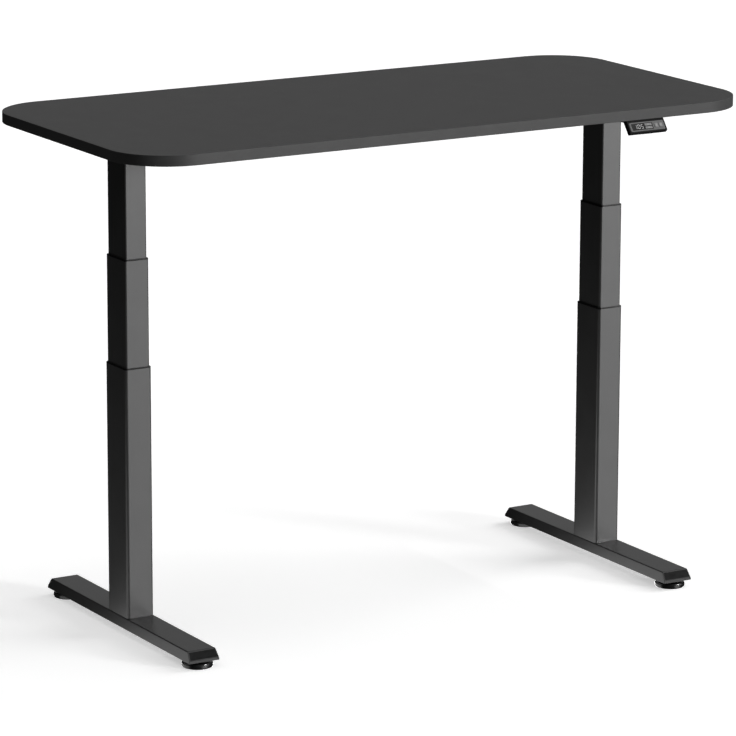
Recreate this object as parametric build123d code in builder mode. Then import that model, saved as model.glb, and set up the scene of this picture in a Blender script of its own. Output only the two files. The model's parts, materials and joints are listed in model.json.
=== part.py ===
from build123d import *
import math
import os

# A height adjustable standing desk: a laminated desktop on a steel frame, held up by two
# three-stage telescopic columns, each on a long flat foot.
#
# Millimetres. The origin is on the floor under the middle of the desktop, +X is to the right,
# +Y to the back and +Z up. The desk stands at its rest height, between its two limits.

# ---- Driving dimensions ----------------------------------------------------------------------

desktop_width = 1448
desktop_depth = 700
desktop_thickness = 22
desktop_corner_radius = 126
desktop_height = 1050
laminate_thickness = 0.8
edge_band_thickness = 2
edge_band_rounding = 1.2

column_x = {"left": -572, "right": 572}
inward = {"left": 1, "right": -1}
tube_wall = 1.8
outer_section = (60, 88, 6)
mid_section = (54.5, 82.5, 4.5)
inner_section = (49, 77, 4)
outer_tube_top = 562
mid_tube_bottom = 282
mid_tube_top = 785
inner_tube_bottom = 505

foot_length = 632
foot_top = 38
foot_bottom = 15.5
foot_top_width = 62
foot_bottom_width = 68
foot_wall = 3
foot_rounding = 2.5
foot_end_inset = 12.5
foot_lip_height = 4.5
cap_thickness = 3
cap_plug_length = 50
cap_plug_gap = 0.2

glide_y = 285.5
glide_radius = 31.6
glide_edge_height = 10.5
glide_neck_radius = 10
glide_rim_rounding = 2
glide_neck_top = 12.9
glide_stud_radius = 4
glide_stud_top = 31.4
glide_bore_radius = 4.15
glide_bore_top = 34.2

plate_thickness = 8
screw_gap = 0.1
column_screw_radius = 4
column_screw_head = (6.5, 5)
column_screw_grid = (34, 58)
hex_key_radius = 2.9
column_screw_chamfer = 0.8

collar_lip = 3
collar_skirt = 30
collar_skirt_gap = 0.1
collar_running_gap = 0.15
collar_rounding = 0.8

head_height = 41
bracket_thickness = 3
bracket_width = 70
bracket_length = 580
bracket_lip_thickness = 2.5
bracket_lip_root = 56
bracket_lip_height = 16
bracket_lip_end_height = 6
bracket_rounding = 12
head_outer_end = 40
head_inner_end = 130
head_depth = 100
head_wall = 2
head_rounding = 4

rail_section = (20, 26)
rail_wall = 2
rail_y = 34
rail_bottom_gap = 4
rail_rounding = 3

# Drive inside each column.
upper_spindle_radius = 8
upper_spindle_bottom = 460
upper_spindle_top = 1016
lower_spindle_radius = 12
lower_spindle_bore_radius = 8.4
lower_spindle_bottom = 250
running_gap = 0.06
spindle_end_gap = 0.5
spindle_chamfer = 1
base_nut_tube_radii = (15.5, 13.5)
base_nut_bottom = 405
base_nut_top = 430
carrier_radii = (19, 16.5)
carrier_block_bottom = 635
carrier_block_top = 660
carrier_nut_top = 682
bearing_radius = 14
bearing_height = 10
wheel_radius = 15
wheel_span = (998, 1014)
wheel_cavity_radius = 16.5
wheel_cavity_top = 1020
worm_radius = 6
worm_length = 24
worm_gap = 0.3
worm_shaft_radius = 4
worm_shaft_end = 20
worm_shaft_reach = 36
worm_bore_radius = 7.2
gear_case_half_length = 30
gear_case_depth = 95
motor_radius = 16
motor_end = 112
motor_flange = 2
motor_rounding = 1.5
frame_bolt_radius = 3
frame_bolt_head = (4.5, 3)
frame_bolt_grid = (40, 87)

# Screws that hold the frame and the boxes to the desktop.
wood_screw_radius = 2.5
wood_screw_length = 13
wood_screw_head = (4.6, 3)
screw_head_rounding = 0.8
cross_slot = (5, 1)
bracket_screw_grids = ((30, 520), (30, 190))

control_box_size = (250, 104, 33)
control_box_y = 142
control_box_wall = 2.5
control_box_rounding = 6
control_lid_length = 274
control_lid_screw_grid = (262, 70)
inlet_x = -60
inlet_body = (27.8, 19.8)
inlet_flange = (34, 24, 1.5)
inlet_recess = (24, 16, 17)
inlet_depth = 24
inlet_pin = (2, 4, 12)
inlet_pin_spots = ((-7, -1.8), (7, -1.8), (0, 1.8))
inlet_rounding = 2

cable_radius = 2.5
cable_drop = 9
cable_hole_gap = 0.2
cable_exit = 100
bend_share = 0.45
clip_size = (10, 12)
clip_gap = 0.1
clip_thickness = 2
plug_size = (12, 10)
plug_rounding = 2

handset_x = 442
handset_width = 92
handset_face_top = (-350.6, 1026.8)
handset_face_bottom = (-367, 1005)
handset_front_top = -349
handset_thickness = 11
handset_chin_rounding = 3
handset_rim_rounding = 1.2
handset_wall = 2
handset_flange_rear = -326
handset_flange_thickness = 5
handset_boss_rear = -332
handset_boss_width = 24
handset_boss_bottom = 1012.5
face_size = (84, 20.5)
face_thickness = 3
face_rounding = 3
face_fit_gap = 0.1
face_ledge = 1
window_size = (52, 15.5)
window_offset = -12
window_thickness = 1.2
window_rounding = 2
key_gap = 0.25
key_proud = 0.8
key_flange = 0.8
key_flange_thickness = 1
key_flange_gap = 0.05
key_rounding = 1
key_top_rounding = 0.3
keys = {
    "up_key": ((3, 3.6), (17, 5)),
    "down_key": ((3, -3.6), (17, 5)),
    "memory_key_one": ((22.5, 0), (8, 9)),
    "memory_key_two": ((33.5, 0), (8, 9)),
}

# ---- Values that follow from them ------------------------------------------------------------

underside = desktop_height - desktop_thickness
head_top = underside - bracket_thickness
head_bottom = head_top - head_height
gear_axis_z = sum(wheel_span) / 2
worm_y = -(wheel_radius + worm_radius + worm_gap)
cable_z = underside - cable_drop
plate_top = foot_top + plate_thickness
foot_side_slope = (foot_bottom_width - foot_top_width) / 2 / (foot_top - foot_bottom)
slope_length = math.dist(handset_face_top, handset_face_bottom)
slope_direction = (
    (handset_face_top[0] - handset_face_bottom[0]) / slope_length,
    (handset_face_top[1] - handset_face_bottom[1]) / slope_length,
)
face_normal = (0, -slope_direction[1], slope_direction[0])
face_centre = (
    handset_x,
    (handset_face_top[0] + handset_face_bottom[0]) / 2,
    (handset_face_top[1] + handset_face_bottom[1]) / 2,
)
face_plane = Plane(origin=face_centre, x_dir=(1, 0, 0), z_dir=face_normal)
sides = ("left", "right")

os.makedirs("parts", exist_ok=True)


def write(piece, label):
    """Names a finished piece and writes it as its own STEP file."""
    piece.label = label
    export_step(piece, f"parts/{label}.step")


def foot_half_width(z):
    """Half the width of the foot's outside at height z."""
    return foot_top_width / 2 + (foot_top - z) * foot_side_slope


# ---- Feet ------------------------------------------------------------------------------------


def foot_outline(gap):
    """Corner points of the foot's section, as (x, z), with its sides and top gap further in."""
    low = foot_half_width(foot_bottom) - gap
    high = foot_half_width(foot_top) - gap
    return [(-low, foot_bottom), (-high, foot_top - gap), (high, foot_top - gap), (low, foot_bottom)]


def space_beyond(end, set_back):
    """Outline, as (y, z), of all that lies past the foot's sloped end, moved in by set_back."""
    y_low = foot_length / 2 - set_back
    y_high = y_low - foot_end_inset
    above = foot_top + foot_wall
    return [
        (end * y_high, above),
        (end * y_high, foot_top),
        (end * y_low, foot_bottom + foot_lip_height),
        (end * y_low, 0),
        (end * foot_length, 0),
        (end * foot_length, above),
    ]


def foot_beam(side):
    """Folded steel channel, open below, with sides that slope outwards and sloped ends."""
    x = column_x[side]
    with BuildPart() as beam:
        with BuildSketch(Plane.XZ):
            with BuildLine():
                Polyline(*[(x + dx, z) for dx, z in foot_outline(0)], close=True)
            outer = make_face()
            fillet(outer.vertices().group_by(Axis.Y)[-1], foot_rounding)
            with BuildLine():
                Polyline(*[(x + dx, z) for dx, z in foot_outline(foot_wall)], close=True)
            make_face(mode=Mode.SUBTRACT)
        extrude(amount=foot_length / 2, both=True)
        for end in (-1, 1):
            with BuildSketch(Plane.YZ.offset(x)):
                with BuildLine():
                    Polyline(*space_beyond(end, cap_thickness), close=True)
                make_face()
            extrude(amount=foot_bottom_width, both=True, mode=Mode.SUBTRACT)
        with BuildSketch(Plane.XY.offset(foot_top - foot_wall)):
            with Locations((x, 0)):
                with GridLocations(*column_screw_grid, 2, 2):
                    Circle(column_screw_radius + screw_gap)
        extrude(amount=foot_wall, mode=Mode.SUBTRACT)
    write(beam.part, f"foot_beam_{side}")


def foot_caps(side):
    """Moulded end caps: a sloped plate over each end of the beam, and a plug inside it."""
    x = column_x[side]
    plug_y = foot_length / 2 - cap_plug_length / 2
    with BuildPart() as caps:
        with BuildSketch(Plane.XZ):
            with BuildLine():
                Polyline(*[(x + dx, z) for dx, z in foot_outline(0)], close=True)
            outer = make_face()
            fillet(outer.vertices().group_by(Axis.Y)[-1], foot_rounding)
        extrude(amount=foot_length / 2, both=True)
        with BuildSketch(Plane.YZ.offset(x)):
            Rectangle(2 * foot_length, 4 * foot_top)
            for end in (-1, 1):
                with BuildLine():
                    Polyline(*space_beyond(end, cap_thickness), close=True)
                make_face(mode=Mode.SUBTRACT)
        extrude(amount=foot_bottom_width, both=True, mode=Mode.SUBTRACT)
        for y in (-plug_y, plug_y):
            with BuildSketch(Plane.XZ.offset(-y)):
                with BuildLine():
                    gap = foot_wall + cap_plug_gap
                    Polyline(*[(x + dx, z) for dx, z in foot_outline(gap)], close=True)
                make_face()
            extrude(amount=cap_plug_length / 2, both=True)
        for end in (-1, 1):
            with BuildSketch(Plane.YZ.offset(x)):
                with BuildLine():
                    Polyline(*space_beyond(end, 0), close=True)
                make_face()
            extrude(amount=foot_bottom_width, both=True, mode=Mode.SUBTRACT)
        with BuildSketch(Plane.XY.offset(foot_bottom)):
            with Locations((x, -glide_y), (x, glide_y)):
                Circle(glide_bore_radius)
        extrude(amount=glide_bore_top - foot_bottom, mode=Mode.SUBTRACT)
    write(caps.part, f"foot_caps_{side}")


def glide(side, end, label):
    """Levelling glide: a moulded disc on a threaded stud that screws into the end cap."""
    with BuildPart() as pad:
        with BuildSketch(Plane.XY):
            with Locations((column_x[side], end * glide_y)):
                Circle(glide_radius)
        extrude(amount=glide_edge_height)
        with BuildSketch(Plane.XY.offset(glide_edge_height)):
            with Locations((column_x[side], end * glide_y)):
                Circle(glide_radius - glide_rim_rounding)
        with BuildSketch(Plane.XY.offset(glide_neck_top)):
            with Locations((column_x[side], end * glide_y)):
                Circle(glide_neck_radius)
        loft()
        with BuildSketch(Plane.XY.offset(glide_neck_top)):
            with Locations((column_x[side], end * glide_y)):
                Circle(glide_stud_radius)
        extrude(amount=glide_stud_top - glide_neck_top)
        fillet(pad.edges().group_by(Axis.Z)[0], glide_rim_rounding)
    write(pad.part, f"{label}_{side}")


# ---- Outer tubes, fixed to the feet ----------------------------------------------------------


def outer_tube(side):
    """Lowest and widest tube of a column, with the plate that the foot is screwed to welded in."""
    x = column_x[side]
    width, depth, rounding = outer_section
    with BuildPart() as tube:
        with BuildSketch(Plane.XY.offset(foot_top)):
            with Locations((x, 0)):
                RectangleRounded(width, depth, rounding)
        extrude(amount=outer_tube_top - collar_lip - foot_top)
        with BuildSketch(Plane.XY.offset(plate_top)):
            with Locations((x, 0)):
                RectangleRounded(width - 2 * tube_wall, depth - 2 * tube_wall, rounding - tube_wall)
        extrude(amount=outer_tube_top - plate_top, mode=Mode.SUBTRACT)
        with BuildSketch(Plane.XY.offset(foot_top)):
            with Locations((x, 0)):
                with GridLocations(*column_screw_grid, 2, 2):
                    Circle(column_screw_radius + screw_gap)
        extrude(amount=plate_thickness, mode=Mode.SUBTRACT)
    write(tube.part, f"outer_tube_{side}")


def column_screws(side):
    """Four socket screws that hold the foot to the plate in the outer tube, seen from below."""
    x = column_x[side]
    head_radius, head_length = column_screw_head
    head_underside = foot_top - foot_wall
    with BuildPart() as screws:
        with BuildSketch(Plane.XY.offset(head_underside)):
            with Locations((x, 0)):
                with GridLocations(*column_screw_grid, 2, 2):
                    Circle(head_radius)
        extrude(amount=-head_length)
        chamfer(screws.edges().group_by(Axis.Z)[0], column_screw_chamfer)
        with BuildSketch(Plane.XY.offset(head_underside)):
            with Locations((x, 0)):
                with GridLocations(*column_screw_grid, 2, 2):
                    Circle(column_screw_radius)
        extrude(amount=foot_wall + plate_thickness - column_screw_chamfer)
        with BuildSketch(Plane.XY.offset(head_underside - head_length)):
            with Locations((x, 0)):
                with GridLocations(*column_screw_grid, 2, 2):
                    RegularPolygon(hex_key_radius, 6)
        extrude(amount=head_length / 2, mode=Mode.SUBTRACT)
    write(screws.part, f"column_screws_{side}")


def base_nut_tube(side):
    """Tube that stands on the foot and holds the lower spindle's nut at its top."""
    x = column_x[side]
    outer_radius, inner_radius = base_nut_tube_radii
    with BuildPart() as tube:
        with BuildSketch(Plane.XY.offset(plate_top)):
            with Locations((x, 0)):
                Circle(outer_radius)
        extrude(amount=base_nut_top - plate_top)
        with BuildSketch(Plane.XY.offset(plate_top)):
            with Locations((x, 0)):
                Circle(inner_radius)
        extrude(amount=base_nut_bottom - plate_top, mode=Mode.SUBTRACT)
        with BuildSketch(Plane.XY.offset(base_nut_bottom)):
            with Locations((x, 0)):
                Circle(lower_spindle_radius + running_gap)
        extrude(amount=base_nut_top - base_nut_bottom, mode=Mode.SUBTRACT)
    write(tube.part, f"base_nut_tube_{side}")


def collar(side, outer_tube_section, inner_tube_section, top, label):
    """Moulded slide collar: a lip on a tube's rim and a skirt between it and the next tube."""
    x = column_x[side]
    width, depth, rounding = outer_tube_section
    next_width, next_depth, next_rounding = inner_tube_section
    skirt_inset = tube_wall + collar_skirt_gap
    with BuildPart() as ring:
        with BuildSketch(Plane.XY.offset(top - collar_lip)):
            with Locations((x, 0)):
                RectangleRounded(width, depth, rounding)
        extrude(amount=collar_lip)
        fillet(ring.edges().group_by(Axis.Z)[-1], collar_rounding)
        with BuildSketch(Plane.XY.offset(top - collar_lip)):
            with Locations((x, 0)):
                RectangleRounded(
                    width - 2 * skirt_inset, depth - 2 * skirt_inset, rounding - skirt_inset
                )
        extrude(amount=-collar_skirt)
        with BuildSketch(Plane.XY.offset(top)):
            with Locations((x, 0)):
                RectangleRounded(
                    next_width + 2 * collar_running_gap,
                    next_depth + 2 * collar_running_gap,
                    next_rounding + collar_running_gap,
                )
        extrude(amount=-(collar_lip + collar_skirt), mode=Mode.SUBTRACT)
    write(ring.part, label)


# ---- Middle tubes ----------------------------------------------------------------------------


def mid_tube(side):
    """Middle tube of a column, with the plate welded in at its foot that carries the drive."""
    x = column_x[side]
    width, depth, rounding = mid_section
    with BuildPart() as tube:
        with BuildSketch(Plane.XY.offset(mid_tube_bottom)):
            with Locations((x, 0)):
                RectangleRounded(width, depth, rounding)
        extrude(amount=mid_tube_top - collar_lip - mid_tube_bottom)
        with BuildSketch(Plane.XY.offset(mid_tube_bottom + plate_thickness)):
            with Locations((x, 0)):
                RectangleRounded(width - 2 * tube_wall, depth - 2 * tube_wall, rounding - tube_wall)
        extrude(amount=mid_tube_top - mid_tube_bottom, mode=Mode.SUBTRACT)
        with BuildSketch(Plane.XY.offset(mid_tube_bottom)):
            with Locations((x, 0)):
                Circle(carrier_radii[1])
        extrude(amount=plate_thickness, mode=Mode.SUBTRACT)
    write(tube.part, f"mid_tube_{side}")


def drive_carrier(side):
    """Tube that stands in the middle tube, holds the lower spindle's head and the upper nut."""
    x = column_x[side]
    foot = mid_tube_bottom + plate_thickness
    bores = (
        (foot, carrier_block_bottom, carrier_radii[1]),
        (carrier_block_bottom, carrier_block_top, lower_spindle_radius + running_gap),
        (carrier_block_top, carrier_nut_top, upper_spindle_radius + running_gap),
    )
    with BuildPart() as carrier:
        with BuildSketch(Plane.XY.offset(foot)):
            with Locations((x, 0)):
                Circle(carrier_radii[0])
        extrude(amount=carrier_nut_top - foot)
        for bottom, top, radius in bores:
            with BuildSketch(Plane.XY.offset(bottom)):
                with Locations((x, 0)):
                    Circle(radius)
            extrude(amount=top - bottom, mode=Mode.SUBTRACT)
    write(carrier.part, f"drive_carrier_{side}")


def lower_spindle(side):
    """Hollow spindle that turns in the middle tube's carrier and climbs the nut on the foot."""
    top = carrier_block_top - spindle_end_gap
    with BuildPart() as spindle:
        with BuildSketch(Plane.XY.offset(lower_spindle_bottom)):
            with Locations((column_x[side], 0)):
                Circle(lower_spindle_radius)
                Circle(lower_spindle_bore_radius, mode=Mode.SUBTRACT)
        extrude(amount=top - lower_spindle_bottom)
    write(spindle.part, f"lower_spindle_{side}")


# ---- Inner tubes and drive heads, fixed to the desktop ---------------------------------------


def inner_tube(side):
    """Upper and narrowest tube of a column, welded to the drive head's box."""
    width, depth, rounding = inner_section
    with BuildPart() as tube:
        with BuildSketch(Plane.XY.offset(inner_tube_bottom)):
            with Locations((column_x[side], 0)):
                RectangleRounded(width, depth, rounding)
                RectangleRounded(
                    width - 2 * tube_wall,
                    depth - 2 * tube_wall,
                    rounding - tube_wall,
                    mode=Mode.SUBTRACT,
                )
        extrude(amount=head_bottom - inner_tube_bottom)
    write(tube.part, f"inner_tube_{side}")


def upper_spindle(side):
    """Spindle that hangs from the drive head and climbs the nut on the middle tube's carrier."""
    with BuildPart() as spindle:
        with BuildSketch(Plane.XY.offset(upper_spindle_bottom)):
            with Locations((column_x[side], 0)):
                Circle(upper_spindle_radius)
        extrude(amount=upper_spindle_top - upper_spindle_bottom)
        chamfer(spindle.edges().group_by(Axis.Z)[0], spindle_chamfer)
    write(spindle.part, f"upper_spindle_{side}")


def worm_wheel(side):
    """Wheel on the upper spindle that the motor's worm turns."""
    bottom, top = wheel_span
    with BuildPart() as wheel:
        with BuildSketch(Plane.XY.offset(bottom)):
            with Locations((column_x[side], 0)):
                Circle(wheel_radius)
                Circle(upper_spindle_radius, mode=Mode.SUBTRACT)
        extrude(amount=top - bottom)
    write(wheel.part, f"worm_wheel_{side}")


def worm_axis(side, along):
    """Plane across the worm's axis, at a distance from the column towards the desk's middle."""
    origin = (column_x[side] + inward[side] * along, worm_y, gear_axis_z)
    return Plane(origin=origin, z_dir=(inward[side], 0, 0))


def motor_worm(side):
    """Worm on the motor's shaft."""
    with BuildPart() as worm:
        with BuildSketch(worm_axis(side, -worm_shaft_end)):
            Circle(worm_shaft_radius)
        extrude(amount=worm_shaft_end + worm_shaft_reach)
        with BuildSketch(worm_axis(side, -worm_length / 2)):
            Circle(worm_radius)
        extrude(amount=worm_length)
    write(worm.part, f"motor_worm_{side}")


def motor(side):
    """Direct current motor in the drive head, on its side, with its flange on the gear case."""
    with BuildPart() as can:
        with BuildSketch(worm_axis(side, gear_case_half_length)):
            Circle(motor_radius)
        extrude(amount=motor_end - gear_case_half_length)
        fillet(can.edges().filter_by(GeomType.CIRCLE).sort_by(Axis.X), motor_rounding)
        with BuildSketch(worm_axis(side, gear_case_half_length)):
            Circle(worm_shaft_radius + running_gap)
        extrude(amount=worm_shaft_reach - gear_case_half_length + motor_flange, mode=Mode.SUBTRACT)
    write(can.part, f"motor_{side}")


def gear_case(side):
    """Cast block around the worm and its wheel, bolted up to the side bracket."""
    x = column_x[side]
    floor = head_bottom + head_wall
    with BuildPart() as case:
        with BuildSketch(Plane.XY.offset(floor)):
            with Locations((x, 0)):
                Rectangle(2 * gear_case_half_length, gear_case_depth)
        extrude(amount=head_top - floor)
        with BuildSketch(Plane.XY.offset(floor)):
            with Locations((x, 0)):
                Circle(bearing_radius + running_gap)
        extrude(amount=bearing_height, mode=Mode.SUBTRACT)
        with BuildSketch(Plane.XY.offset(floor + bearing_height)):
            with Locations((x, 0)):
                Circle(wheel_cavity_radius)
        extrude(amount=wheel_cavity_top - floor - bearing_height, mode=Mode.SUBTRACT)
        with BuildSketch(worm_axis(side, -worm_shaft_end - head_wall)):
            Circle(worm_bore_radius)
        extrude(amount=worm_shaft_end + head_wall + gear_case_half_length, mode=Mode.SUBTRACT)
        with BuildSketch(Plane.XY.offset(floor)):
            with Locations((x, 0)):
                with GridLocations(*frame_bolt_grid, 2, 2):
                    Circle(frame_bolt_radius + screw_gap)
        extrude(amount=head_top - floor, mode=Mode.SUBTRACT)
    write(case.part, f"gear_case_{side}")


def spindle_bearings():
    """Bearing at the head of each upper spindle."""
    with BuildPart() as bearings:
        with BuildSketch(Plane.XY.offset(head_bottom + head_wall)):
            with Locations((column_x["left"], 0), (column_x["right"], 0)):
                Circle(bearing_radius)
                Circle(upper_spindle_radius + running_gap, mode=Mode.SUBTRACT)
        extrude(amount=bearing_height)
    write(bearings.part, "spindle_bearings")


def head_box(side):
    """Folded steel box, open above, around the gear case and the motor."""
    length = head_outer_end + head_inner_end
    x = column_x[side]
    middle = x + inward[side] * (head_inner_end - head_outer_end) / 2
    with BuildPart() as box:
        with BuildSketch(Plane.XY.offset(head_bottom)):
            with Locations((middle, 0)):
                RectangleRounded(length, head_depth, head_rounding)
        extrude(amount=head_height)
        with BuildSketch(Plane.XY.offset(head_bottom + head_wall)):
            with Locations((middle, 0)):
                Rectangle(length - 2 * head_wall, head_depth - 2 * head_wall)
        extrude(amount=head_height, mode=Mode.SUBTRACT)
        with BuildSketch(Plane.XY.offset(head_bottom)):
            with Locations((x, 0)):
                Circle(bearing_radius - head_wall)
                with GridLocations(*frame_bolt_grid, 2, 2):
                    Circle(frame_bolt_radius + screw_gap)
        extrude(amount=head_wall, mode=Mode.SUBTRACT)
        with BuildSketch(Plane.XZ.offset(-head_depth / 2)):
            with Locations((x + inward[side] * cable_exit, cable_z)):
                Circle(cable_radius + cable_hole_gap)
        extrude(amount=head_wall, mode=Mode.SUBTRACT)
    write(box.part, f"head_box_{side}")


def side_bracket(side):
    """Plate under the desktop across its depth, stiffened by lips that taper towards its ends."""
    x = column_x[side]
    lip_end = bracket_length / 2 - bracket_rounding
    lip_x = (bracket_width - bracket_lip_thickness) / 2
    with BuildPart() as bracket:
        with BuildSketch(Plane.XY.offset(head_top)):
            with Locations((x, 0)):
                RectangleRounded(bracket_width, bracket_length, bracket_rounding)
                for grid in bracket_screw_grids:
                    with GridLocations(*grid, 2, 2):
                        Circle(wood_screw_radius + screw_gap, mode=Mode.SUBTRACT)
                with GridLocations(*frame_bolt_grid, 2, 2):
                    Circle(frame_bolt_radius + screw_gap, mode=Mode.SUBTRACT)
        extrude(amount=bracket_thickness)
        for lip in (-lip_x, lip_x):
            with BuildSketch(Plane.YZ.offset(x + lip)):
                for end in (-1, 1):
                    with BuildLine():
                        Polyline(
                            (end * bracket_lip_root, head_top),
                            (end * bracket_lip_root, head_top - bracket_lip_height),
                            (end * lip_end, head_top - bracket_lip_end_height),
                            (end * lip_end, head_top),
                            close=True,
                        )
                    make_face()
            extrude(amount=bracket_lip_thickness / 2, both=True)
    write(bracket.part, f"side_bracket_{side}")


def frame_rails():
    """Two rectangular tubes that join the drive heads across the desk."""
    length = 2 * (column_x["right"] - head_inner_end)
    width, height = rail_section
    z = head_bottom + rail_bottom_gap + height / 2
    with BuildPart() as rails:
        with BuildSketch(Plane.YZ.offset(-length / 2)):
            with Locations((-rail_y, z), (rail_y, z)):
                RectangleRounded(width, height, rail_rounding)
                Rectangle(width - 2 * rail_wall, height - 2 * rail_wall, mode=Mode.SUBTRACT)
        extrude(amount=length)
    write(rails.part, "frame_rails")


def frame_bolts():
    """Long bolts that hold each head box and gear case up to its side bracket."""
    head_radius, head_length = frame_bolt_head
    with BuildPart() as bolts:
        for side in sides:
            with BuildSketch(Plane.XY.offset(head_bottom)):
                with Locations((column_x[side], 0)):
                    with GridLocations(*frame_bolt_grid, 2, 2):
                        Circle(head_radius)
            extrude(amount=-head_length)
            with BuildSketch(Plane.XY.offset(head_bottom)):
                with Locations((column_x[side], 0)):
                    with GridLocations(*frame_bolt_grid, 2, 2):
                        Circle(frame_bolt_radius)
            extrude(amount=head_height + bracket_thickness - screw_gap)
        fillet(bolts.edges().group_by(Axis.Z)[0], screw_head_rounding)
    write(bolts.part, "frame_bolts")


# ---- Desktop ---------------------------------------------------------------------------------


def desktop_screw_spots():
    """Where wood screws go into the desktop, as (x, y)."""
    spots = []
    for side in sides:
        for width, depth in bracket_screw_grids:
            for dx in (-width / 2, width / 2):
                for y in (-depth / 2, depth / 2):
                    spots.append((column_x[side] + dx, y))
    lid_width, lid_depth = control_lid_screw_grid
    for x in (-lid_width / 2, lid_width / 2):
        for dy in (-lid_depth / 2, lid_depth / 2):
            spots.append((x, control_box_y + dy))
    return spots


def desktop_core():
    """Board between the laminate and the edge band, with pilot holes for the wood screws."""
    inset = 2 * edge_band_thickness
    with BuildPart() as core:
        with BuildSketch(Plane.XY.offset(underside)):
            RectangleRounded(
                desktop_width - inset,
                desktop_depth - inset,
                desktop_corner_radius - edge_band_thickness,
            )
        extrude(amount=desktop_thickness - laminate_thickness)
        with BuildSketch(Plane.XY.offset(underside)):
            with Locations(*desktop_screw_spots()):
                Circle(wood_screw_radius + screw_gap)
        extrude(amount=wood_screw_length, mode=Mode.SUBTRACT)
    write(core.part, "desktop_core")


def top_laminate():
    """Thin decorative sheet on the board."""
    inset = 2 * edge_band_thickness
    with BuildPart() as sheet:
        with BuildSketch(Plane.XY.offset(desktop_height - laminate_thickness)):
            RectangleRounded(
                desktop_width - inset,
                desktop_depth - inset,
                desktop_corner_radius - edge_band_thickness,
            )
        extrude(amount=laminate_thickness)
    write(sheet.part, "top_laminate")


def edge_band():
    """Plastic band around the desktop's edge, with its outer corners eased."""
    inset = 2 * edge_band_thickness
    with BuildPart() as band:
        with BuildSketch(Plane.XY.offset(underside)):
            RectangleRounded(desktop_width, desktop_depth, desktop_corner_radius)
        extrude(amount=desktop_thickness)
        fillet(band.edges().filter_by(Plane.XY), edge_band_rounding)
        with BuildSketch(Plane.XY.offset(underside)):
            RectangleRounded(
                desktop_width - inset,
                desktop_depth - inset,
                desktop_corner_radius - edge_band_thickness,
            )
        extrude(amount=desktop_thickness, mode=Mode.SUBTRACT)
    write(band.part, "edge_band")


def desktop_screws():
    """Pan head wood screws that hold the brackets and the control box to the desktop."""
    head_radius, head_length = wood_screw_head
    spots = desktop_screw_spots()
    with BuildPart() as screws:
        with BuildSketch(Plane.XY.offset(head_top)):
            with Locations(*spots):
                Circle(head_radius)
        extrude(amount=-head_length)
        fillet(screws.edges().group_by(Axis.Z)[0], screw_head_rounding)
        with BuildSketch(Plane.XY.offset(head_top)):
            with Locations(*spots):
                Circle(wood_screw_radius)
        extrude(amount=wood_screw_length)
        with BuildSketch(Plane.XY.offset(head_top - head_length)):
            with Locations(*spots):
                Rectangle(*cross_slot)
                Rectangle(*reversed(cross_slot))
        extrude(amount=head_length / 2, mode=Mode.SUBTRACT)
    write(screws.part, "desktop_screws")


# ---- Control box and cables ------------------------------------------------------------------


def control_box_shell():
    """Moulded case of the control box, open above, with a cutout for the mains inlet."""
    length, depth, height = control_box_size
    bottom = head_top - height
    wall = control_box_wall
    back = control_box_y + depth / 2
    with BuildPart() as shell:
        with BuildSketch(Plane.XY.offset(bottom)):
            with Locations((0, control_box_y)):
                RectangleRounded(length, depth, control_box_rounding)
        extrude(amount=height)
        fillet(shell.edges().group_by(Axis.Z)[0], control_box_rounding / 2)
        with BuildSketch(Plane.XY.offset(bottom + wall)):
            with Locations((0, control_box_y)):
                RectangleRounded(length - 2 * wall, depth - 2 * wall, control_box_rounding - wall)
        extrude(amount=height, mode=Mode.SUBTRACT)
        with BuildSketch(Plane.XZ.offset(-back)):
            with Locations((inlet_x, bottom + height / 2)):
                Rectangle(inlet_body[0] + 2 * screw_gap, inlet_body[1] + 2 * screw_gap)
        extrude(amount=wall, mode=Mode.SUBTRACT)
    write(shell.part, "control_box_shell")


def control_box_lid():
    """Plate that closes the control box above and carries it, screwed to the desktop."""
    with BuildPart() as lid:
        with BuildSketch(Plane.XY.offset(head_top)):
            with Locations((0, control_box_y)):
                RectangleRounded(control_lid_length, control_box_size[1], control_box_rounding)
                with GridLocations(*control_lid_screw_grid, 2, 2):
                    Circle(wood_screw_radius + screw_gap, mode=Mode.SUBTRACT)
        extrude(amount=bracket_thickness)
    write(lid.part, "control_box_lid")


def mains_inlet():
    """Three-pin mains inlet in the back of the control box."""
    back = control_box_y + control_box_size[1] / 2
    z = head_top - control_box_size[2] / 2
    flange_width, flange_height, flange_thickness = inlet_flange
    recess_width, recess_height, recess_depth = inlet_recess
    pin_width, pin_height, pin_length = inlet_pin
    mouth = back + flange_thickness
    with BuildPart() as inlet:
        with BuildSketch(Plane.XZ.offset(-back)):
            with Locations((inlet_x, z)):
                Rectangle(*inlet_body)
        extrude(amount=inlet_depth)
        with BuildSketch(Plane.XZ.offset(-back)):
            with Locations((inlet_x, z)):
                RectangleRounded(flange_width, flange_height, inlet_rounding)
        extrude(amount=-flange_thickness)
        with BuildSketch(Plane.XZ.offset(-mouth)):
            with Locations((inlet_x, z)):
                RectangleRounded(recess_width, recess_height, inlet_rounding)
        extrude(amount=recess_depth, mode=Mode.SUBTRACT)
        with BuildSketch(Plane.XZ.offset(-(mouth - recess_depth))):
            with Locations(*[(inlet_x + dx, z + dz) for dx, dz in inlet_pin_spots]):
                Rectangle(pin_width, pin_height)
        extrude(amount=-pin_length)
    write(inlet.part, "mains_inlet")


def bend_radii(route):
    """Radius of each bend of a cable's route: as large as the runs on its two sides allow."""
    radii = []
    for before, point, after in zip(route, route[1:], route[2:]):
        run_in = Vector(*point) - Vector(*before)
        run_out = Vector(*after) - Vector(*point)
        half_turn = math.radians(run_in.get_angle(run_out)) / 2
        radii.append(bend_share * min(run_in.length, run_out.length) / math.tan(half_turn))
    return radii


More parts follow.
